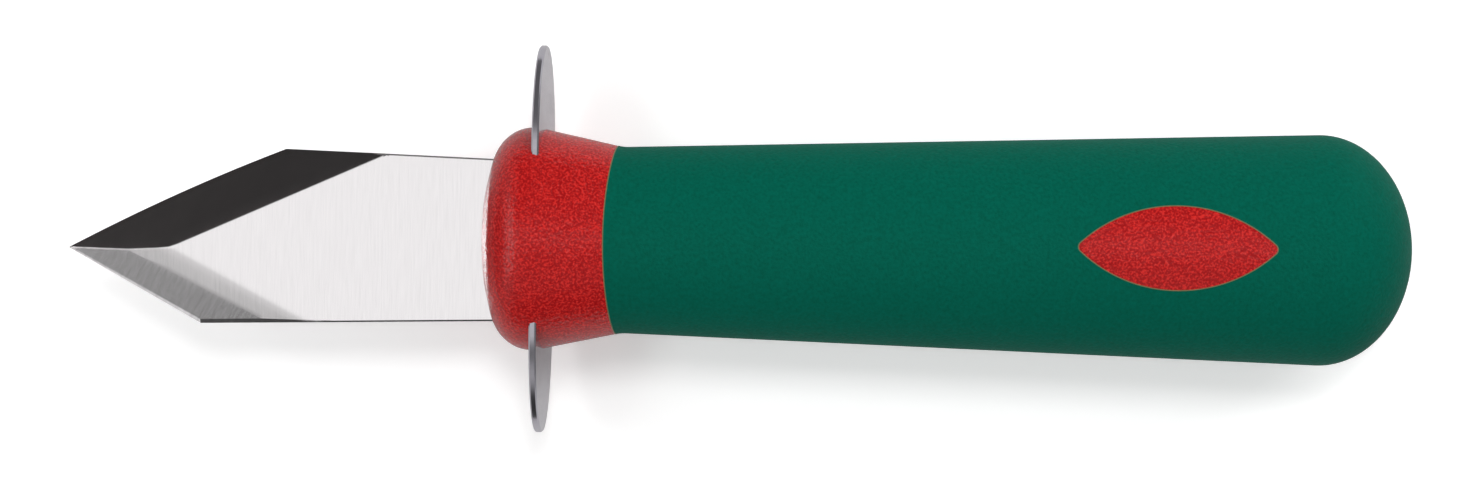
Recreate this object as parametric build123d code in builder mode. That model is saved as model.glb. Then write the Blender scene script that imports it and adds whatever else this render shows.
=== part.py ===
"""An oyster knife: a short ground blade, a crosswise guard plate and a two-colour handle.

The knife lies on its side. X runs from the blade's tip to the butt, Y across the blade and
Z up through its thickness. The origin is under the middle of the knife, on the surface that
it rests on. Lengths are in millimetres.
"""

import os
from math import atan, degrees, sqrt

from build123d import *

# Overall lengths along X, and the handle's oval section
blade_reach = 57.4  # tip to the foremost point of the collar
handle_length = 126.9  # from there to the butt
depth_share = 0.84  # the handle's depth in Z over its height in Y

# Blade outline: setbacks from the tip, rises and drops from the handle's centre line
tip_drop = 2.1
upper_corner_setback = 29.7
upper_corner_rise = 11.85
upper_edge_bow = 0.55
spine_root_rise = 10.9
lower_corner_setback = 18.2
lower_corner_drop = 12.25
belly_root_drop = 11.4

# Blade thickness and its bevels, ground alike into both faces
blade_thickness = 2.5
grind_allowance = 0.05  # sheet left on each face where the grinding stops
root_gap = 0.15  # from the end of the grinding to the collar
tip_land = 0.84  # thickness that the wide bevels leave at the tip
lower_land = 0.64  # and at the lower corner
ridge_setback = 14.0  # where the bevels' ridge meets the flat
ridge_drop = 2.0
upper_bevel_setback = 44.0  # where the upper bevel runs out on the spine
blend_bevel_setback = 33.0  # where the shallow lower bevel runs out on the belly
lower_bevel_setback = 17.4  # a point on the crest of the steep lower bevel
lower_bevel_drop = 6.85
lower_bevel_depth = 0.286  # of that crest below the flat
edge_tip_land = 0.6  # thickness that the narrow edge bevels leave at the tip
edge_land = 0.16  # and at the lower corner
edge_bevel_width = 0.55  # of the one on the belly, at the lower corner
edge_bevel_rise = 0.31  # across that width
edge_bevel_setback = 33.4  # where the one on the belly runs out
edge_bevel_end_depth = 0.14  # below the flat there

# Tang, hidden in the handle
tang_length = 72.0
tang_root_width = 12.0
tang_end_width = 8.0
tang_end_round = 2.5
tang_hole_diameter = 4.5
tang_hole_shares = (0.3, 0.75)

# Guard plate: straight sides between half-elliptic ends
guard_height = 53.2
guard_width = 17.0
guard_thickness = 1.0
guard_end_length = 14.0
guard_edge_chamfer = 0.2
guard_setback = 7.55  # mid-plane of the plate behind the collar's foremost point
slot_play = 0.05

# Handle outline: setbacks from the collar's foremost point, and half heights
face_half = 6.8  # the flat middle of the collar's face
face_round = 15.0
rim_setback = 1.8
rim_half = 13.5
rim_round = 5.5
crest_setback = 5.5
crest_half = 15.6
crest_round = 5.0
neck_setback = 18.6
neck_half = 12.8
neck_round = 6.0
grip_setback = 23.0  # where the straight sides begin
butt_half = 15.85
butt_length = 12.6  # of the half-elliptic cap

# Seam between the two mouldings, the sleeve's walls and the lens panel
seam_setback = 17.1  # at the centre line; the seam bows towards the blade
seam_bow = 0.85  # over the neck's height
grip_wall = 2.8
spine_end_wall = 13.0  # from the spine's square end to the butt
grip_rings = 7  # stretches that the straight sides are drawn in
spine_rings = 8
panel_setback = 93.6  # the panel's middle
panel_length = 27.1
panel_bow = 5.63
panel_tip_round = 0.8

tip_x = -(blade_reach + handle_length) / 2
collar_x = tip_x + blade_reach
butt_x = collar_x + handle_length
axis_z = butt_half * depth_share
mid_plane = Plane.XY.offset(axis_z)
long_axis = Axis((0, 0, axis_z), (1, 0, 0))

guard_x = collar_x + guard_setback
shoulder_x = guard_x - guard_thickness / 2
grind_end_x = collar_x - root_gap


def at_x(start, end, x):
    """The point at x on the straight line through start and end."""
    share = (x - start[0]) / (end[0] - start[0])
    return (x, start[1] + share * (end[1] - start[1]))


tip = (tip_x, -tip_drop)
upper_corner = (tip_x + upper_corner_setback, upper_corner_rise)
lower_corner = (tip_x + lower_corner_setback, -lower_corner_drop)
spine_root = (collar_x, spine_root_rise)
belly_root = (collar_x, -belly_root_drop)
ridge_end = (tip_x + ridge_setback, -ridge_drop)
bevel_crest = (tip_x + lower_bevel_setback, -lower_bevel_drop)
edge_bevel_crest = (tip_x + lower_corner_setback, edge_bevel_width - lower_corner_drop)
upper_bevel_end = at_x(upper_corner, spine_root, tip_x + upper_bevel_setback)
blend_bevel_end = at_x(lower_corner, belly_root, tip_x + blend_bevel_setback)
edge_bevel_end = at_x(lower_corner, belly_root, tip_x + edge_bevel_setback)


def bevel_plane(side, *corners):
    """Plane through three corners, given as (point, height over the mid-plane), facing out."""
    a, b, c = (Vector(*point, axis_z + side * height) for point, height in corners)
    outward = (b - a).cross(c - a)
    return Plane(origin=a, z_dir=outward if outward.Z * side > 0 else -outward)


half_blade = blade_thickness / 2

# Blade: sheet ground on both faces, with square shoulders and a tapered tang
with BuildPart() as blade:
    with BuildSketch(mid_plane):
        with BuildLine():
            SagittaArc(tip, upper_corner, upper_edge_bow)
            Polyline(
                upper_corner,
                at_x(upper_corner, spine_root, grind_end_x),
                at_x(lower_corner, belly_root, grind_end_x),
                lower_corner,
                tip,
            )
        make_face()
    extrude(amount=half_blade, both=True)
    for side in (1, -1):
        upper_bevel = bevel_plane(
            side, (tip, tip_land / 2), (ridge_end, half_blade), (upper_bevel_end, half_blade)
        )
        split(bisect_by=upper_bevel, keep=Keep.BOTTOM)
        crest_height = half_blade - lower_bevel_depth
        blend_bevel = bevel_plane(
            side, (ridge_end, half_blade), (blend_bevel_end, half_blade), (bevel_crest, crest_height)
        )
        split(bisect_by=blend_bevel, keep=Keep.BOTTOM)
        lower_bevel = bevel_plane(
            side, (tip, tip_land / 2), (lower_corner, lower_land / 2), (bevel_crest, crest_height)
        )
        split(bisect_by=lower_bevel, keep=Keep.BOTTOM)
        edge = (lower_corner, edge_land / 2)
        edge_crest = (edge_bevel_crest, edge_land / 2 + edge_bevel_rise)
        for far_end in ((tip, edge_tip_land / 2), (edge_bevel_end, half_blade - edge_bevel_end_depth)):
            split(bisect_by=bevel_plane(side, edge, edge_crest, far_end), keep=Keep.BOTTOM)
    with BuildSketch(mid_plane):
        with BuildLine():
            Polyline(
                at_x(upper_corner, spine_root, grind_end_x),
                at_x(upper_corner, spine_root, shoulder_x),
                at_x(lower_corner, belly_root, shoulder_x),
                at_x(lower_corner, belly_root, grind_end_x),
                close=True,
            )
        make_face()
        with BuildLine():
            Polyline(
                (shoulder_x, tang_root_width / 2),
                (shoulder_x + tang_length, tang_end_width / 2),
                (shoulder_x + tang_length, -tang_end_width / 2),
                (shoulder_x, -tang_root_width / 2),
                close=True,
            )
        make_face()
        with Locations(*((shoulder_x + share * tang_length, 0) for share in tang_hole_shares)):
            Circle(tang_hole_diameter / 2, mode=Mode.SUBTRACT)
    extrude(amount=half_blade + grind_allowance, both=True)
    tang_end = blade.faces().sort_by(Axis.X)[-1]
    fillet(tang_end.edges().filter_by(Axis.Z), radius=tang_end_round)

# Guard plate, slotted for the tang and seated on the blade's shoulders
with BuildPart() as guard_plate:
    with BuildSketch(Plane.YZ.offset(shoulder_x)):
        straight = guard_height - 2 * guard_end_length
        with Locations((-straight / 2, axis_z), (straight / 2, axis_z)):
            Ellipse(guard_end_length, guard_width / 2)
        with Locations((0, axis_z)):
            Rectangle(straight, guard_width)
            Rectangle(
                tang_root_width + 2 * slot_play,
                blade_thickness + 2 * (grind_allowance + slot_play),
                mode=Mode.SUBTRACT,
            )
    extrude(amount=guard_thickness)
    for face in (guard_plate.faces().sort_by(Axis.X)[0], guard_plate.faces().sort_by(Axis.X)[-1]):
        chamfer(face.outer_wire().edges(), length=guard_edge_chamfer)

# Handle: a turned collar and butt, flattened to ovals, with straight tapering sides between.
# The side's slope makes it touch the butt's elliptical outline.
neck_x = collar_x + neck_setback
grip_x = collar_x + grip_setback
cap_x = butt_x - butt_length
side_run = cap_x - neck_x
side_reach = side_run**2 - butt_length**2
side_spread = sqrt((neck_half * side_run) ** 2 + side_reach * (butt_half**2 - neck_half**2))
side_slope = (side_spread - neck_half * side_run) / side_reach


def side_half(x):
    """Half height of the handle's straight side at x."""
    return neck_half + side_slope * (x - neck_x)


def oval_rings(start_x, end_x, count, wall):
    """Evenly spaced ovals between two places, drawn in from the handle's surface by a wall."""
    rings = []
    for ring in range(count + 1):
        x = start_x + (end_x - start_x) * ring / count
        with BuildSketch(Plane.YZ.offset(x)) as oval:
            with Locations((0, axis_z)):
                Ellipse(side_half(x) - wall, side_half(x) * depth_share - wall)
        rings.append(oval.sketch)
    return rings


with BuildPart() as collar_form:
    corners = (
        ((collar_x, face_half), face_round),
        ((collar_x + rim_setback, rim_half), rim_round),
        ((collar_x + crest_setback, crest_half), crest_round),
        ((neck_x, neck_half), neck_round),
    )
    with BuildSketch(mid_plane) as outline:
        with BuildLine():
            Polyline(
                (collar_x, 0),
                *(corner for corner, _ in corners),
                (grip_x, side_half(grip_x)),
                (grip_x, 0),
                close=True,
            )
        make_face()
        for corner, radius in corners:
            fillet(outline.vertices().sort_by_distance((*corner, axis_z))[0], radius=radius)
    revolve(axis=long_axis)
    scale(by=(1, 1, depth_share), about=(0, 0, axis_z))

with BuildPart() as butt_form:
    cap_angle = 90 + degrees(atan(side_slope * butt_length / butt_half))
    with BuildSketch(mid_plane):
        with BuildLine():
            cap = EllipticalCenterArc((cap_x, 0), butt_length, butt_half, arc_size=cap_angle)
            Polyline(cap @ 1, ((cap @ 1).X, 0), cap @ 0)
        make_face()
    revolve(axis=long_axis)
    scale(by=(1, 1, depth_share), about=(0, 0, axis_z))

with BuildPart() as handle_form:
    loft(oval_rings(grip_x, (cap @ 1).X, grip_rings, 0), ruled=True)
    add(collar_form.part)
    add(butt_form.part)

# Where the mouldings part: the collar's zone before the seam, and the panel's lens-shaped column
with BuildPart() as collar_zone:
    seam_x = collar_x + seam_setback
    seam_end_x = seam_x + seam_bow
    with BuildSketch(mid_plane):
        with BuildLine():
            seam = ThreePointArc((seam_end_x, neck_half), (seam_x, 0), (seam_end_x, -neck_half))
            Polyline(
                seam @ 1,
                seam @ 1 + seam % 1 * neck_half,
                (collar_x - neck_half, -2 * neck_half),
                (collar_x - neck_half, 2 * neck_half),
                seam @ 0 - seam % 0 * neck_half,
                seam @ 0,
            )
        make_face()
    extrude(amount=axis_z, both=True)

with BuildPart() as panel_column:
    panel_x = collar_x + panel_setback
    panel_ends = ((panel_x - panel_length / 2, 0), (panel_x + panel_length / 2, 0))
    with BuildSketch(mid_plane) as lens:
        with BuildLine():
            SagittaArc(panel_ends[0], panel_ends[1], panel_bow)
            SagittaArc(panel_ends[1], panel_ends[0], panel_bow)
        make_face()
        fillet(lens.vertices(), radius=panel_tip_round)
    extrude(amount=axis_z, both=True)

# First shot: the spine hidden in the grip, and the pier that shows as the panel on both sides
with BuildPart() as spine:
    spine_x = collar_x + crest_setback
    loft(oval_rings(spine_x, butt_x - spine_end_wall, spine_rings, grip_wall), ruled=True)

with BuildPart() as panel_pier:
    add(handle_form.part)
    add(panel_column.part, mode=Mode.INTERSECT)

# Core: collar, spine and pier, moulded round the blade's root, the tang and the guard plate
with BuildPart() as handle_core:
    add(handle_form.part)
    add(collar_zone.part, mode=Mode.INTERSECT)
    add(spine.part)
    add(panel_pier.part)
    add(blade.part, mode=Mode.SUBTRACT)
    add(guard_plate.part, mode=Mode.SUBTRACT)

# Sleeve: the second shot, over the spine and round the pier
with BuildPart() as grip_sleeve:
    add(handle_form.part)
    add(collar_zone.part, mode=Mode.SUBTRACT)
    add(spine.part, mode=Mode.SUBTRACT)
    add(panel_column.part, mode=Mode.SUBTRACT)

os.makedirs("parts", exist_ok=True)
for piece, name in (
    (blade, "blade"),
    (guard_plate, "guard_plate"),
    (handle_core, "handle_core"),
    (grip_sleeve, "grip_sleeve"),
):
    piece.part.label = name
    export_step(piece.part, f"parts/{name}.step")
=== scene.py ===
"""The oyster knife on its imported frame, lying on its side on a white sweep.

X runs from the blade's tip to the butt, Y across the blade and Z up from the floor. Object
sizes are written in millimetres and turned to metres by mm.
"""

import bmesh
import bpy
import numpy as np
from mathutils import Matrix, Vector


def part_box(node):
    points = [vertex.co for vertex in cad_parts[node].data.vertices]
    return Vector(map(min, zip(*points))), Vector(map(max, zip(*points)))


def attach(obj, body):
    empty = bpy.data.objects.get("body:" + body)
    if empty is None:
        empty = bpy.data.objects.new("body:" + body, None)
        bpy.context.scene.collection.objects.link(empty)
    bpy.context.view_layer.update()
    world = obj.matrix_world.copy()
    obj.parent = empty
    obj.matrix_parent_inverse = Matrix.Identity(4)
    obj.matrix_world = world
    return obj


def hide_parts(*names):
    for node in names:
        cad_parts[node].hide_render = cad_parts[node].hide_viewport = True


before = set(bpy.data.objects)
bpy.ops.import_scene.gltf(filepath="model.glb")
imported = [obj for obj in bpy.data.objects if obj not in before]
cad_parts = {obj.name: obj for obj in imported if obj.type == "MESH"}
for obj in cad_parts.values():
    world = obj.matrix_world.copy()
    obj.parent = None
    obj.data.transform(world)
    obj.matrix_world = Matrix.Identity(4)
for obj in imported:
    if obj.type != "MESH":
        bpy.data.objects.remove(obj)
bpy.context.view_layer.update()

# Blade
# Stainless strip 2.5 mm thick, blanked, then ground alike on both faces: one wide bevel to
# the upper edge and two to the lower one, with a narrow edge bevel round the lower corner.
mm = 0.001

tip_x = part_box("blade")[0].x
collar_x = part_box("handle_core")[0].x
grip_low, grip_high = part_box("grip_sleeve")
axis_z = (grip_low.z + grip_high.z) / 2


def blade_place(setback, rise):
    """A place on the blade: millimetres behind the tip and above the handle's centre line."""
    return np.array([tip_x + setback * mm, rise * mm])


def run(start, end, x):
    """Y at x on the straight line through two places."""
    return start[1] + (x - start[0]) * (end[1] - start[1]) / (end[0] - start[0])


def bevel(*corners):
    """Plane through three places and their half thicknesses, as (a, b, c) in a x + b y + c."""
    rows = [(*place, 1.0) for place, _ in corners]
    return np.linalg.solve(np.array(rows), np.array([half for _, half in corners]))


def meeting(first, second, x):
    """Y at x where two planes are equally thick: the root of their difference."""
    a, b, c = np.subtract(first, second)
    return -(a * x + c) / b


tip = blade_place(0, -2.1)
upper_corner, spine_root = blade_place(29.7, 11.85), np.array([collar_x, 10.9 * mm])
lower_corner, belly_root = blade_place(18.2, -12.25), np.array([collar_x, -11.4 * mm])
upper_edge_bow = 0.55 * mm
half_blade = 1.25 * mm

# Places where the bevels meet or run out, and the half thicknesses left there
ridge_end, bevel_crest = blade_place(14.0, -2.0), blade_place(17.4, -6.85)
upper_end_x, blend_end_x, edge_end_x = (tip_x + setback * mm for setback in (44.0, 33.0, 33.4))
upper_end = np.array([upper_end_x, run(upper_corner, spine_root, upper_end_x)])
blend_end, edge_end = (
    np.array([x, run(lower_corner, belly_root, x)]) for x in (blend_end_x, edge_end_x)
)
tip_half, corner_half, crest_half = 0.42 * mm, 0.32 * mm, 0.964 * mm

# The edge bevel's own half thicknesses at the tip, the lower corner and where it runs out
edge_tip_half, edge_half, edge_end_half = 0.3 * mm, 0.08 * mm, 1.11 * mm
edge_width, edge_rise = 0.55 * mm, 0.31 * mm
edge_corner = (lower_corner, edge_half), (lower_corner + [0, edge_width], edge_half + edge_rise)
arris_width, arris_drop = 0.22 * mm, 0.15 * mm  # of the broken edges along belly and spine

flat = np.array([0, 0, half_blade])
upper_bevel = bevel((tip, tip_half), (ridge_end, half_blade), (upper_end, half_blade))
blend_bevel = bevel((ridge_end, half_blade), (blend_end, half_blade), (bevel_crest, crest_half))
lower_bevel = bevel((tip, tip_half), (lower_corner, corner_half), (bevel_crest, crest_half))
front_edge = bevel((tip, edge_tip_half), *edge_corner)
belly_edge = bevel((edge_end, edge_end_half), *edge_corner)
belly_arris, spine_arris = (
    bevel(
        (corner, half_blade - arris_drop),
        (root, half_blade - arris_drop),
        (corner + [0, inward * arris_width], half_blade),
    )
    for corner, root, inward in ((lower_corner, belly_root, 1), (upper_corner, spine_root, -1))
)

# Stations along the blade, one of them at each place where an outline or a bevel turns
inside_collar = 7.0 * mm
even_stations = 150
station = np.union1d(
    np.linspace(tip_x, collar_x + inside_collar, even_stations),
    [tip_x, ridge_end[0], lower_corner[0], upper_corner[0], upper_end_x, blend_end_x, edge_end_x],
)
share = (station - tip_x) / (upper_corner[0] - tip_x)
bowed_front = run(tip, upper_corner, station) + 4 * upper_edge_bow * share * (1 - share)
spine = np.where(share < 1, bowed_front, run(upper_corner, spine_root, station))
belly = np.maximum(run(tip, lower_corner, station), run(lower_corner, belly_root, station))

# Lines that the surfaces meet in, from the belly up, with the reach of the two rounded ones
blend_round, ridge_round = 0.9 * mm, 0.16 * mm
before_corner = station < lower_corner[0]
edge_plane = np.where(before_corner, front_edge[:, None], belly_edge[:, None])
edge_line = np.minimum(
    meeting(edge_plane, lower_bevel[:, None], station),
    meeting(edge_plane, blend_bevel[:, None], station),
)
arris_line = np.where(before_corner, belly, meeting(belly_arris, flat, station))
crest_line = np.minimum(
    meeting(lower_bevel, blend_bevel, station),
    meeting(lower_bevel, upper_bevel, station),
)
blend_line = np.minimum(
    meeting(blend_bevel, flat, station),
    meeting(blend_bevel, upper_bevel, station),
)
upper_line = np.maximum.reduce(
    [meeting(upper_bevel, plane, station) for plane in (flat, blend_bevel, lower_bevel)]
)
upper_line = np.where(station < upper_end_x, upper_line, meeting(spine_arris, flat, station))
lines = np.array([
    belly, np.maximum(edge_line, arris_line), crest_line, blend_line - blend_round,
    blend_line + blend_round, upper_line - ridge_round,
])
lines = np.maximum.accumulate(np.minimum(lines, upper_line - ridge_round), axis=0)
lines = np.clip([*lines, upper_line + ridge_round, spine], belly, spine)


def rounded_least(first, second, reach):
    """The lesser of two heights, lowered where they differ by less than the reach.

    It is lowered by the parabola reach x (1 - difference / reach) squared / 4.
    """
    near = np.clip(1 - np.abs(first - second) / reach, 0, None)
    return np.minimum(first, second) - reach * near**2 / 4


def blade_half(x, y):
    """Half thickness: the least of all planes, with two of the ground corners rounded."""
    ground = flat, upper_bevel, blend_bevel, lower_bevel
    edges = front_edge, belly_edge, belly_arris, spine_arris
    face, upper, blend, lower, *sharp = (a * x + b * y + c for a, b, c in ground + edges)
    face = rounded_least(face, blend, blend_round * np.hypot(*blend_bevel[:2]))
    ridge_reach = ridge_round * np.hypot(*(upper_bevel - lower_bevel)[:2])
    face = rounded_least(np.minimum(face, lower), upper, ridge_reach)
    return np.minimum.reduce([face, *sharp])


def blade_strip(low_line, high_line, columns, side):
    """A strip of one face: even shares from line to line in Y, and the half thickness in Z."""
    y = low_line[:, None] + (high_line - low_line)[:, None] * np.linspace(0, 1, columns)
    x = np.broadcast_to(station[:, None], y.shape)
    return np.stack([x, y, axis_z + side * blade_half(x, y)], axis=-1)


def patch_mesh(name, patches, finishes=None, sharp_angle=30.0):
    """One mesh from point grids: each four neighbours make a quad, and shared edges are welded.

    Points that round to the same micrometre become one. A quad drops each corner that is the
    same point as the next, so at a pole it becomes a triangle, and it goes if only two are
    left. Faces are turned outwards. A finish is the material slot of each grid.
    """
    weld_size = 0.001 * mm
    points, quads, slots, count = [], [], [], 0
    for grid, finish in zip(patches, finishes or [0] * len(patches)):
        rows, columns = grid.shape[:2]
        index = count + np.arange(rows * columns).reshape(rows, columns)
        quad = np.stack([index[:-1, :-1], index[1:, :-1], index[1:, 1:], index[:-1, 1:]], axis=-1)
        points.append(grid.reshape(-1, 3))
        quads.append(quad.reshape(-1, 4))
        slots.append(np.full(quads[-1].shape[0], finish))
        count += rows * columns
    points, quads, slots = map(np.concatenate, (points, quads, slots))
    places = np.round(points / weld_size).astype(np.int64)
    _, first, same = np.unique(places, axis=0, return_index=True, return_inverse=True)
    quads = same.reshape(-1)[quads]
    kept = quads != np.roll(quads, -1, axis=1)
    whole = kept.sum(axis=1) > 2
    corners = kept[whole].sum(axis=1)
    mesh = bpy.data.meshes.new(name)
    mesh.from_pydata(points[first].tolist(), [], [])
    mesh.loops.add(int(corners.sum()))
    mesh.loops.foreach_set("vertex_index", quads[whole][kept[whole]].astype(np.int32))
    mesh.polygons.add(len(corners))
    mesh.polygons.foreach_set("loop_start", (np.cumsum(corners) - corners).astype(np.int32))
    mesh.polygons.foreach_set("material_index", slots[whole].astype(np.int32))
    mesh.update(calc_edges=True)
    body = bmesh.new()
    body.from_mesh(mesh)
    bmesh.ops.recalc_face_normals(body, faces=body.faces)
    body.to_mesh(mesh)
    body.free()
    mesh.shade_smooth()
    mesh.set_sharp_from_angle(angle=np.radians(sharp_angle))
    piece = bpy.data.objects.new(name, mesh)
    bpy.context.scene.collection.objects.link(piece)
    return piece


# Each face lies in strips between the lines, from the belly up. Two rims close the body
# along belly and spine, and a row of thin walls closes it inside the collar. The ground
# planes meet at a few degrees only, so every corner above 2.5 degrees stays sharp.
satin, belt, buffed = 0, 1, 2
strip_columns = 3, 6, 4, 13, 6, 5, 6
strip_finishes = [belt, belt, satin, satin, satin, satin, buffed]
top_strips, under_strips = (
    [blade_strip(*strip, side) for strip in zip(lines, lines[1:], strip_columns)]
    for side in (1, -1)
)
rims = [
    np.stack([top_strips[0][:, 0], under_strips[0][:, 0]], axis=1),
    np.stack([top_strips[-1][:, -1], under_strips[-1][:, -1]], axis=1),
]
ends = [np.stack([top[-1], under[-1]], axis=1) for top, under in zip(top_strips, under_strips)]
blade = patch_mesh(
    "ground_blade",
    [*top_strips, *under_strips, *rims, *ends],
    [*strip_finishes, *strip_finishes, belt, belt, *[satin] * len(ends)],
    sharp_angle=2.5,
)


def linear(hex_colour):
    """An sRGB hex colour as linear red, green and blue.

    A share up to 0.04045 is divided by 12.92, and above it (share + 0.055) / 1.055 is raised
    to the power 2.4.
    """
    srgb = np.array([int(hex_colour[i : i + 2], 16) for i in (1, 3, 5)]) / 255
    rgb = np.where(srgb <= 0.04045, srgb / 12.92, ((srgb + 0.055) / 1.055) ** 2.4)
    return (*rgb.tolist(), 1.0)


def new_material(name):
    """A material and its node tree, still empty."""
    material = bpy.data.materials.new(name)
    material.use_nodes = True
    material.node_tree.nodes.clear()
    return material, material.node_tree


def add_node(tree, kind, inputs=None, **settings):
    """Adds a node, sets its properties, and gives each input a constant or another's output.

    An input goes by its name, or by its number where several share one name: a Mix Shader's
    share and two shaders are 0, 1 and 2, and so are a Math node's values in their order.
    """
    node = tree.nodes.new(kind)
    for name, value in settings.items():
        setattr(node, name, value)
    for name, value in (inputs or {}).items():
        if isinstance(value, bpy.types.NodeSocket):
            tree.links.new(value, node.inputs[name])
        else:
            node.inputs[name].default_value = value
    return node


def ground_steel(name, low_colour, high_colour, roughness, scratch_pitch, scratch_length, turn):
    """Ground stainless: noise drawn out along the scratches varies its tone and its gloss.

    The noise is stretched by scratch length / scratch pitch, turned from Y towards X. Its
    middle range runs from the low colour to the high one, and from duller to glossier.
    """
    noise_low, noise_high, gloss_share = 0.3, 0.7, 0.15
    material, tree = new_material(name)
    turned = add_node(tree, "ShaderNodeMapping", {
        "Vector": add_node(tree, "ShaderNodeTexCoord").outputs["Object"],
        "Rotation": (0, 0, np.radians(turn)),
    })
    drawn = add_node(tree, "ShaderNodeMapping", {
        "Vector": turned.outputs["Vector"],
        "Scale": (1 / scratch_pitch, 1 / scratch_length, 1 / scratch_length),
    })
    scratches = add_node(tree, "ShaderNodeTexNoise", {
        "Vector": drawn.outputs["Vector"], "Scale": 1.0, "Detail": 3.0, "Roughness": 0.6,
    })
    height = add_node(tree, "ShaderNodeMapRange", {
        "Value": scratches.outputs["Fac"], "From Min": noise_low, "From Max": noise_high,
    })
    tone = add_node(tree, "ShaderNodeMix", {
        "Factor": height.outputs["Result"], "A": linear(low_colour), "B": linear(high_colour),
    }, data_type="RGBA")
    gloss = add_node(tree, "ShaderNodeMapRange", {
        "Value": height.outputs["Result"],
        "To Min": roughness * (1 + gloss_share),
        "To Max": roughness * (1 - gloss_share),
    })
    metal = add_node(tree, "ShaderNodeBsdfPrincipled", {
        "Base Color": tone.outputs["Result"], "Metallic": 1.0, "Roughness": gloss.outputs["Result"],
    })
    add_node(tree, "ShaderNodeOutputMaterial", {"Surface": metal.outputs["BSDF"]})
    return material


# Martensitic stainless steel. The flats are fine-ground across the blade, which blurs what
# they mirror a little. The lower bevels are coarser, ground square to their edge, and the
# upper one is buffed. Real scratches are a few hundredths of a millimetre wide, too fine to
# show, so they are drawn 0.2 to 0.35 mm apart.
blade.data.materials.append(ground_steel(
    "satin_ground_stainless", "#f5f2f3", "#f9f6f7",
    roughness=0.13, scratch_pitch=0.2 * mm, scratch_length=5 * mm, turn=0,
))
blade.data.materials.append(ground_steel(
    "belt_ground_stainless", "#dcd9da", "#fffdfe",
    roughness=0.15, scratch_pitch=0.35 * mm, scratch_length=2.5 * mm, turn=29,
))
blade.data.materials.append(ground_steel(
    "buffed_stainless", "#efe6e6", "#f4ecec",
    roughness=0.1, scratch_pitch=0.25 * mm, scratch_length=8 * mm, turn=24,
))
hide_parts("blade")
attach(blade, "root")

# Guard plate
# Stamped stainless sheet, tumbled to a dull finish, slipped over the tang against the
# blade's shoulders before the handle is moulded round both. It keeps its CAD solid.

# Tumbling leaves dents too fine to show, so they are drawn as faint clouds 1.5 by 6 mm
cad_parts["guard_plate"].material_slots[0].material = ground_steel(
    "tumbled_stainless_sheet", "#bab7bf", "#c1bec6",
    roughness=0.2, scratch_pitch=1.5 * mm, scratch_length=6 * mm, turn=90,
)

# Handle core
# First moulding shot, red thermoplastic round the tang and guard: the swollen collar, and
# the pier whose two ends show as lens-shaped panels in the grip.
butt_x = grip_high.x
butt_half = (grip_high.y - grip_low.y) / 2
depth_share = (grip_high.z - grip_low.z) / (grip_high.y - grip_low.y)
butt_length = 12.6 * mm
cap_x = butt_x - butt_length
neck_setback, neck_half = 18.6 * mm, 12.8 * mm
neck_x = collar_x + neck_setback
nose_half = 6.8 * mm
shoulder_setback, shoulder_half = 1.8 * mm, 13.5 * mm
crown_setback, crown_half = 5.5 * mm, 15.6 * mm
nose_round, shoulder_round, crown_round, neck_round = 15 * mm, 5.5 * mm, 5 * mm, 6 * mm

# The grip's straight side runs from the neck and touches the butt's ellipse: its slope is
# the root that makes line and ellipse meet once, and cap_start_x is where they touch
side_run = cap_x - neck_x
side_reach = side_run**2 - butt_length**2
side_spread = np.sqrt((neck_half * side_run) ** 2 + side_reach * (butt_half**2 - neck_half**2))
side_slope = (side_spread - neck_half * side_run) / side_reach
cap_start_x = cap_x - butt_length**2 * side_slope / np.hypot(butt_half, butt_length * side_slope)


def rounded_path(corners, radii, spacing):
    """A polyline with each inner corner rounded by an arc of its radius.

    A turn by angle a takes radius x tan(a / 2) from both of the corner's runs, and the arc's
    points, at least three, stand at equal angles round the centre on the corner's inner side.
    """
    corners = np.array(corners, float)
    stretches = [corners[:1]]
    for before, corner, after, radius in zip(corners, corners[1:], corners[2:], radii):
        inward, outward = corner - before, after - corner
        inward, outward = inward / np.linalg.norm(inward), outward / np.linalg.norm(outward)
        turn = np.arctan2(inward[0] * outward[1] - inward[1] * outward[0], inward @ outward)
        start = corner - inward * radius * np.tan(abs(turn) / 2)
        side = np.sign(turn) * np.array([-inward[1], inward[0]])
        centre = start + side * radius
        angle = np.linspace(0, turn, max(3, int(abs(turn) * radius / spacing) + 2))[:, None]
        arc = centre - side * radius * np.cos(angle) + inward * radius * np.sin(abs(angle))
        stretches.append(arc)
    stretches.append(corners[-1:])
    return np.concatenate(stretches)


def resampled(path, spacing):
    """The path again with its points evenly apart.

    The distance run to each corner is the sum of the runs before it. It is divided evenly, and
    each point lies between two corners in proportion to the distance run.
    """
    along = np.concatenate([[0], np.cumsum(np.linalg.norm(np.diff(path, axis=0), axis=1))])
    even = np.linspace(0, along[-1], int(along[-1] / spacing) + 2)
    return np.stack([np.interp(even, along, path[:, k]) for k in (0, 1)], axis=1)


# The handle's outline above its centre line: collar, neck and straight side
skin_spacing = 0.4 * mm
collar_outline = rounded_path(
    [
        (collar_x, 0),
        (collar_x, nose_half),
        (collar_x + shoulder_setback, shoulder_half),
        (collar_x + crown_setback, crown_half),
        (neck_x, neck_half),
        (cap_start_x, neck_half + side_slope * (cap_start_x - neck_x)),
    ],
    [nose_round, shoulder_round, crown_round, neck_round],
    skin_spacing,
)


def skin_half(x):
    """Half height of the handle at x: the collar's outline, then the butt's half ellipse."""
    cap = butt_half * np.sqrt(np.clip(1 - ((x - cap_x) / butt_length) ** 2, 0, 1))
    return np.where(x < cap_start_x, np.interp(x, *collar_outline.T), cap)


def oval_points(x, half, angle):
    """Points on the handle's oval at x, with the given half height and angle.

    Y is half x cos(angle), and Z is depth share x half x sin(angle) above the axis.
    """
    x, half, angle = np.broadcast_arrays(x, half, angle)
    z = axis_z + depth_share * half * np.sin(angle)
    return np.stack([x, half * np.cos(angle), z], axis=-1)


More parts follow.
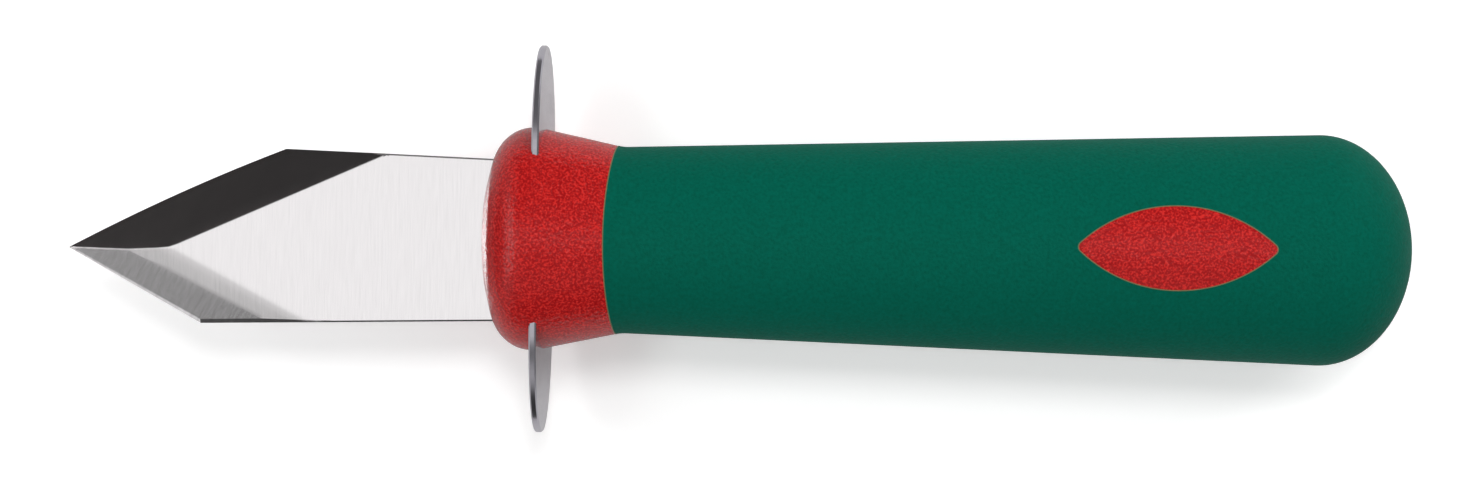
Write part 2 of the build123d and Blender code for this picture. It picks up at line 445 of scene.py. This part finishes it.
# Rings round the handle have a point every two degrees, and the last closes on the first
ring_points = 181
around = np.linspace(0, 2 * np.pi, ring_points)

# The seam where the two mouldings meet bows towards the blade along the centre line
seam_x, seam_bow = collar_x + 17.1 * mm, 0.85 * mm


def seam_place(angle):
    """The seam's x at an angle round the handle: its least x + bow x cos(angle) squared."""
    return seam_x + seam_bow * np.cos(angle) ** 2


# The panel's outline: two arcs over its length, with a small round at each tip
panel_x = collar_x + 93.6 * mm
panel_length, panel_bow, tip_round = 27.1 * mm, 5.63 * mm, 0.8 * mm
panel_depth = 2.8 * mm
panel_rows, panel_columns = 81, 33
side_radius = (panel_length**2 / 4 + panel_bow**2) / (2 * panel_bow)
round_centre = np.sqrt((side_radius - tip_round) ** 2 - (side_radius - panel_bow) ** 2)
panel_reach = round_centre + tip_round
panel_along = panel_reach * np.sin(np.linspace(-np.pi / 2, np.pi / 2, panel_rows))


def panel_half(along):
    """The panel's half width: the side arc's height, or the tip circle's past where they touch."""
    arc = np.sqrt(side_radius**2 - along**2) - (side_radius - panel_bow)
    tip_arc = np.sqrt(np.clip(tip_round**2 - (np.abs(along) - round_centre) ** 2, 0, None))
    touch = round_centre * side_radius / (side_radius - tip_round)
    return np.where(np.abs(along) < touch, arc, tip_arc)


def panel_grid(side, sunk):
    """The panel's skin on the handle's oval, moved straight in by the depth sunk.

    Y is the half width x a share from -1 to 1, and Z stands off the axis by depth share x
    the root of (half height squared - Y squared).
    """
    x = panel_x + panel_along[:, None]
    y = panel_half(panel_along)[:, None] * np.linspace(-1, 1, panel_columns)
    half = skin_half(x)
    z = axis_z + side * (depth_share * np.sqrt(half**2 - y**2) - sunk)
    return np.stack(np.broadcast_arrays(x, y, z), axis=-1)


def panel_wall(side):
    """The wall round the panel, from the skin straight in: its long edges, joined at the tips."""
    skin, bottom = panel_grid(side, 0), panel_grid(side, panel_depth)
    return [np.stack([skin[:, k], bottom[:, k]], axis=1) for k in (0, -1)]


# The collar's front follows its outline's rounds, and its rear runs evenly to the bowed seam
front_length, rear_rows = 12 * mm, 16
front = collar_outline[collar_outline[:, 0] <= collar_x + front_length]
front_x, front_half = np.split(resampled(front, skin_spacing), 2, axis=1)
rear_share = np.linspace(0, 1, rear_rows)[:, None]
rear_x = front_x[-1] + rear_share * (seam_place(around) - front_x[-1])
seam_half = skin_half(seam_place(around))
core_patches = [
    oval_points(front_x, front_half, around),
    oval_points(rear_x, skin_half(rear_x), around),
    oval_points(seam_place(around), seam_half * np.array([[1], [0]]), around),
]
for side in (1, -1):
    core_patches += [panel_grid(side, 0), *panel_wall(side), panel_grid(side, panel_depth)]
core = patch_mesh("core_moulding", core_patches)

# Red polypropylene compound with a spark-eroded grain: pebbles half a millimetre across, low
# and glossy enough for a soft highlight. Their relief is too fine to show by itself, so their
# glints are painted into the colour as well: paler red on their crowns, in flecks 0.3 mm across.
red_plastic, tree = new_material("grained_red_polypropylene")
pebble, pebble_drop = 0.5 * mm, 0.06 * mm
fleck, fleck_rise = 0.3 * mm, 0.04 * mm
glint_foot, glint_top = 0.42, 0.68  # shares of the noise's height
place = add_node(tree, "ShaderNodeTexCoord").outputs["Object"]
pebbles = add_node(tree, "ShaderNodeTexVoronoi", {
    "Vector": place, "Scale": 1 / pebble, "Smoothness": 0.6,
}, feature="SMOOTH_F1")
grain = add_node(tree, "ShaderNodeTexNoise", {
    "Vector": place, "Scale": 1 / fleck, "Detail": 1.0,
})
pebble_bump = add_node(tree, "ShaderNodeBump", {
    "Height": pebbles.outputs["Distance"], "Distance": -pebble_drop, "Strength": 1.0,
})
grain_bump = add_node(tree, "ShaderNodeBump", {
    "Height": grain.outputs["Fac"], "Distance": fleck_rise, "Strength": 1.0,
    "Normal": pebble_bump.outputs["Normal"],
})
# Painted highlight: where the noise is high the red turns paler, as glints drawn on the pebbles'
# crowns
painted_glints = add_node(tree, "ShaderNodeMapRange", {
    "Value": grain.outputs["Fac"], "From Min": glint_foot, "From Max": glint_top,
})
red_with_painted_glints = add_node(tree, "ShaderNodeMix", {
    "Factor": painted_glints.outputs["Result"], "A": linear("#9a060a"), "B": linear("#cf2420"),
}, data_type="RGBA")
red = add_node(tree, "ShaderNodeBsdfPrincipled", {
    "Base Color": red_with_painted_glints.outputs["Result"],
    "Roughness": 0.25,
    "Specular IOR Level": 0.4,
    "Normal": grain_bump.outputs["Normal"],
})
add_node(tree, "ShaderNodeOutputMaterial", {"Surface": red.outputs["BSDF"]})
core.data.materials.append(red_plastic)
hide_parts("handle_core")
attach(core, "root")

# Grip sleeve
# Second moulding shot, green thermoplastic over the core's spine and round its pier: an
# oval grip that widens to a domed butt, flush with the collar and the panels.
lead_rows, flank_columns, tail_rows, dome_rows = 150, 91, 40, 48
panel_start_x, panel_end_x = panel_x - panel_reach, panel_x + panel_reach

# Rings from the seam to the panels, two flanks beside them, then rings on to the dome
lead_share = np.linspace(0, 1, lead_rows)[:, None]
lead_x = seam_place(around) + lead_share * (panel_start_x - seam_place(around))
flank_x = panel_x + panel_along[:, None]
flank_reach = np.arccos(panel_half(panel_along)[:, None] / skin_half(flank_x))
flank_angle = flank_reach * np.linspace(-1, 1, flank_columns)
tail_x = panel_end_x + np.linspace(0, 1, tail_rows)[:, None] * (cap_start_x - panel_end_x)
dome_start = np.arccos((cap_start_x - cap_x) / butt_length)
dome_angle = dome_start * np.linspace(1, 0, dome_rows)[:, None]
grip_patches = [
    oval_points(seam_place(around), seam_half * np.array([[0], [1]]), around),
    oval_points(lead_x, skin_half(lead_x), around),
    oval_points(flank_x, skin_half(flank_x), flank_angle),
    oval_points(flank_x, skin_half(flank_x), np.pi + flank_angle),
    oval_points(tail_x, skin_half(tail_x), around),
    oval_points(cap_x + butt_length * np.cos(dome_angle), butt_half * np.sin(dome_angle), around),
]
for side in (1, -1):
    grip_patches += [*panel_wall(side), panel_grid(side, panel_depth)]
grip = patch_mesh("grip_sleeve_moulding", grip_patches)

# Green thermoplastic elastomer with a shallow grain, matt enough to show no clear highlight.
# The grain's relief is too fine to show by itself, so two close greens are drawn with it.
green_plastic, tree = new_material("grained_green_elastomer")
fine_grain, grain_rise = 0.45 * mm, 0.08 * mm
place = add_node(tree, "ShaderNodeTexCoord").outputs["Object"]
grain = add_node(tree, "ShaderNodeTexNoise", {
    "Vector": place, "Scale": 1 / fine_grain, "Detail": 2.0,
})
grain_bump = add_node(tree, "ShaderNodeBump", {
    "Height": grain.outputs["Fac"], "Distance": grain_rise, "Strength": 1.0,
})
green_colour = add_node(tree, "ShaderNodeMix", {
    "Factor": grain.outputs["Fac"], "A": linear("#004a39"), "B": linear("#006453"),
}, data_type="RGBA")
green = add_node(tree, "ShaderNodeBsdfPrincipled", {
    "Base Color": green_colour.outputs["Result"],
    "Roughness": 0.6,
    "Specular IOR Level": 0.06,
    "Normal": grain_bump.outputs["Normal"],
})
add_node(tree, "ShaderNodeOutputMaterial", {"Surface": green.outputs["BSDF"]})
grip.data.materials.append(green_plastic)
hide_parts("grip_sleeve")
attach(grip, "root")

# Witness lines
# Hair-thin flash where the second shot met the first, left proud of the surface round the
# collar's seam and round both panels, in a blend of the two colours.
bead_radius, bead_sides = 0.09 * mm, 8
bead_sunk = bead_radius / 2


def closed_bead(path):
    """A tube round a closed path: bead radius x (cos a x up + sin a x across) at each point.

    Up is the oval's own outward direction, (0, y, z / depth share squared) from the axis.
    """
    up = (path - [0, 0, axis_z]) * [0, 1, 1 / depth_share**2]
    up /= np.linalg.norm(up, axis=1, keepdims=True)
    ahead = np.roll(path, -1, axis=0) - np.roll(path, 1, axis=0)
    ahead /= np.linalg.norm(ahead, axis=1, keepdims=True)
    across = np.cross(ahead, up)
    across /= np.linalg.norm(across, axis=1, keepdims=True)
    turn = np.linspace(0, 2 * np.pi, bead_sides + 1)[None, :, None]
    ring = np.cos(turn) * up[:, None] + np.sin(turn) * across[:, None]
    tube = path[:, None] + bead_radius * ring
    return np.concatenate([tube, tube[:1]])


seam_path = oval_points(seam_place(around), seam_half - bead_sunk, around)[:-1]
beads = [closed_bead(seam_path)]
for side in (1, -1):
    skin = panel_grid(side, bead_sunk)
    beads.append(closed_bead(np.concatenate([skin[:-1, 0], skin[:0:-1, -1]])))
witness = patch_mesh("witness_lines", beads)

# Flash of both plastics, where the green has run thin over the red: a dull olive thread
flash_plastic, tree = new_material("moulding_flash")
flash = add_node(tree, "ShaderNodeBsdfPrincipled", {
    "Base Color": linear("#6e6a48"), "Roughness": 0.45, "Specular IOR Level": 0.4,
})
add_node(tree, "ShaderNodeOutputMaterial", {"Surface": flash.outputs["BSDF"]})
witness.data.materials.append(flash_plastic)
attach(witness, "root")

# Floor
# White seamless sweep that the knife lies on. The eye sees it as pure white where it is
# fully lit, so that only the soft shadow shows. Steel and gloss mirror a part of that white.
floor_half = 1500 * mm
floor_corners = np.array([(-1, -1, 0), (1, -1, 0), (1, 1, 0), (-1, 1, 0)]) * floor_half
floor_mesh = bpy.data.meshes.new("white_sweep")
floor_mesh.from_pydata(floor_corners.tolist(), [], [(0, 1, 2, 3)])
floor = bpy.data.objects.new("white_sweep", floor_mesh)
bpy.context.scene.collection.objects.link(floor)

# Matt white paint. It throws light back on the knife as a light grey would. The eye sees a
# brighter matt white, thinned by an even glow so that the shadows on it stay light.
sweep_paint, tree = new_material("white_sweep_paint")
seen_white, glow_share, mirrored_share = 1.35, 0.26, 0.25
rays = add_node(tree, "ShaderNodeLightPath")
bounced = add_node(tree, "ShaderNodeBsdfDiffuse", {"Color": linear("#c4c4c4")})
seen = add_node(tree, "ShaderNodeBsdfDiffuse", {"Color": (seen_white, seen_white, seen_white, 1)})
glow = add_node(tree, "ShaderNodeEmission", {"Strength": 1.0})
thinned = add_node(tree, "ShaderNodeMixShader", {
    0: glow_share, 1: seen.outputs["BSDF"], 2: glow.outputs["Emission"],
})
shown = add_node(tree, "ShaderNodeMath", {
    0: rays.outputs["Is Glossy Ray"], 1: mirrored_share, 2: rays.outputs["Is Camera Ray"],
}, operation="MULTIPLY_ADD")
sweep = add_node(tree, "ShaderNodeMixShader", {
    0: shown.outputs["Value"], 1: bounced.outputs["BSDF"], 2: thinned.outputs["Shader"],
})
add_node(tree, "ShaderNodeOutputMaterial", {"Surface": sweep.outputs["Shader"]})
floor.data.materials.append(sweep_paint)

# Light
# A dim tent, whose bright, grey and dark panels are what the steel mirrors, and three
# softboxes, which light the plastics and the floor.
world = bpy.data.worlds.new("light_tent")
bpy.context.scene.world = world
world.use_nodes = True
tree = world.node_tree
tree.nodes.clear()
direction = add_node(tree, "ShaderNodeTexCoord").outputs["Generated"]

# The tent's own level, and each of its panels: the way it lies, the degrees from there
# between which its edge fades, and its level. A later one lies over the earlier ones.
tent_level = 0.26
tent_panels = (
    ((0.0, 1.0, 0.35), 25, 60, 0.2),  # dim wall beyond the spine
    ((0.0, -1.0, 1.3), 8, 20, 0.7),  # pale panel above the belly's side
    ((0.0, -1.0, 0.15), 25, 44, 0.06),  # dark wall before the belly
    ((1.0, 0.9, 0.6), 8, 22, 0.9),  # four pale corners, which show in views from the side
    ((-1.0, 0.9, 0.6), 8, 22, 0.9),
    ((-1.0, -0.9, 0.6), 8, 22, 0.9),
    ((1.0, -0.9, 0.6), 8, 22, 0.9),
    ((-0.66, 0.0, 1.0), 4, 8, 8.0),  # three small ones that glint on the collar's shoulder
    ((-0.8, 0.45, 1.0), 4, 8, 6.0),
    ((-0.8, -0.45, 1.0), 4, 8, 6.0),
    ((0.25, 0.0, 1.0), 3, 6, 5.0),  # a small one for the collar's rear slope
    ((-0.21, 0.035, 1.0), 7, 14, 1.15),  # the bright panel in the blade's flat
    ((-0.43, -0.262, 1.0), 4, 8, 0.27),  # grey card in the steep lower bevel
    ((-0.354, -0.167, 1.0), 2.5, 5.6, 0.78),  # pale card in the shallow lower bevel
    ((-0.424, 0.364, 1.0), 8, 12, 0.03),  # dark card in the upper bevel
)
level = tent_level
for way, inner_angle, outer_angle, panel_level in tent_panels:
    facing = add_node(tree, "ShaderNodeVectorMath", {
        0: direction, 1: tuple(np.array(way) / np.linalg.norm(way)),
    }, operation="DOT_PRODUCT")
    cover = add_node(tree, "ShaderNodeMapRange", {
        "Value": facing.outputs["Value"],
        "From Min": float(np.cos(np.radians(outer_angle))),
        "From Max": float(np.cos(np.radians(inner_angle))),
    }, interpolation_type="SMOOTHSTEP")
    level = add_node(tree, "ShaderNodeMix", {
        "Factor": cover.outputs["Result"], "A": level, "B": panel_level,
    }).outputs["Result"]

# Only the eye sees the white backdrop. Steel mirrors the tent in its place, as the real
# blade does, whose bevels would otherwise all be white.
tent = add_node(tree, "ShaderNodeBackground", {"Strength": level})
backdrop = add_node(tree, "ShaderNodeBackground", {"Strength": 1.0})
rays = add_node(tree, "ShaderNodeLightPath")
seen_world = add_node(tree, "ShaderNodeMixShader", {
    0: rays.outputs["Is Camera Ray"],
    1: tent.outputs["Background"],
    2: backdrop.outputs["Background"],
})
add_node(tree, "ShaderNodeOutputWorld", {"Surface": seen_world.outputs["Shader"]})

# Softboxes: the key beyond spine and butt, a weaker fill before the belly, and a small one
# overhead, whose shadow lies close under the knife. Steel mirrors the tent's panels alone, so
# the softboxes' own shapes are kept out of it.
lamp_distance = 900 * mm
for name, way, size, watts in (
    ("side", (0.62, 0.66, 0.45), 600 * mm, 4.2),
    ("fill", (-0.1, -0.84, 0.5), 600 * mm, 1.8),
    ("top", (0.1, 0.38, 1.0), 240 * mm, 2.25),
):
    lamp_data = bpy.data.lights.new(name, "AREA")
    lamp_data.size, lamp_data.energy = size, watts
    lamp = bpy.data.objects.new(name, lamp_data)
    bpy.context.scene.collection.objects.link(lamp)
    lamp_way = Vector(way).normalized()
    lamp.location = lamp_way * lamp_distance
    lamp.rotation_mode = "QUATERNION"
    lamp.rotation_quaternion = lamp_way.to_track_quat("Z", "Y")
    lamp.visible_glossy = False

# Camera
# Straight above the handle, nearly over its middle, with the picture's frame moved towards
# the blade. The knife lies turned a little clockwise in the picture.
photo_width, photo_height = 1480, 504
foot_column, foot_row = 890, 244
photo_scale = 0.1375 * mm  # of the object to a pixel, at the handle's centre line
eye_height = 350 * mm
foot_setback = 55.4 * mm
knife_turn = np.radians(0.85)
camera_data = bpy.data.cameras.new("camera")
camera_data.sensor_width = 36
camera_data.lens = camera_data.sensor_width * eye_height / (photo_width * photo_scale)
camera_data.shift_x = (photo_width / 2 - foot_column) / photo_width
camera_data.shift_y = (foot_row - photo_height / 2) / photo_width
camera_data.clip_start, camera_data.clip_end = 10 * mm, 10000 * mm
camera = bpy.data.objects.new("camera", camera_data)
bpy.context.scene.collection.objects.link(camera)
camera.location = (collar_x + foot_setback, 0, axis_z + eye_height)
camera.rotation_euler = (0, 0, knife_turn)
bpy.context.scene.camera = camera
bpy.context.scene.view_settings.view_transform = "Standard"
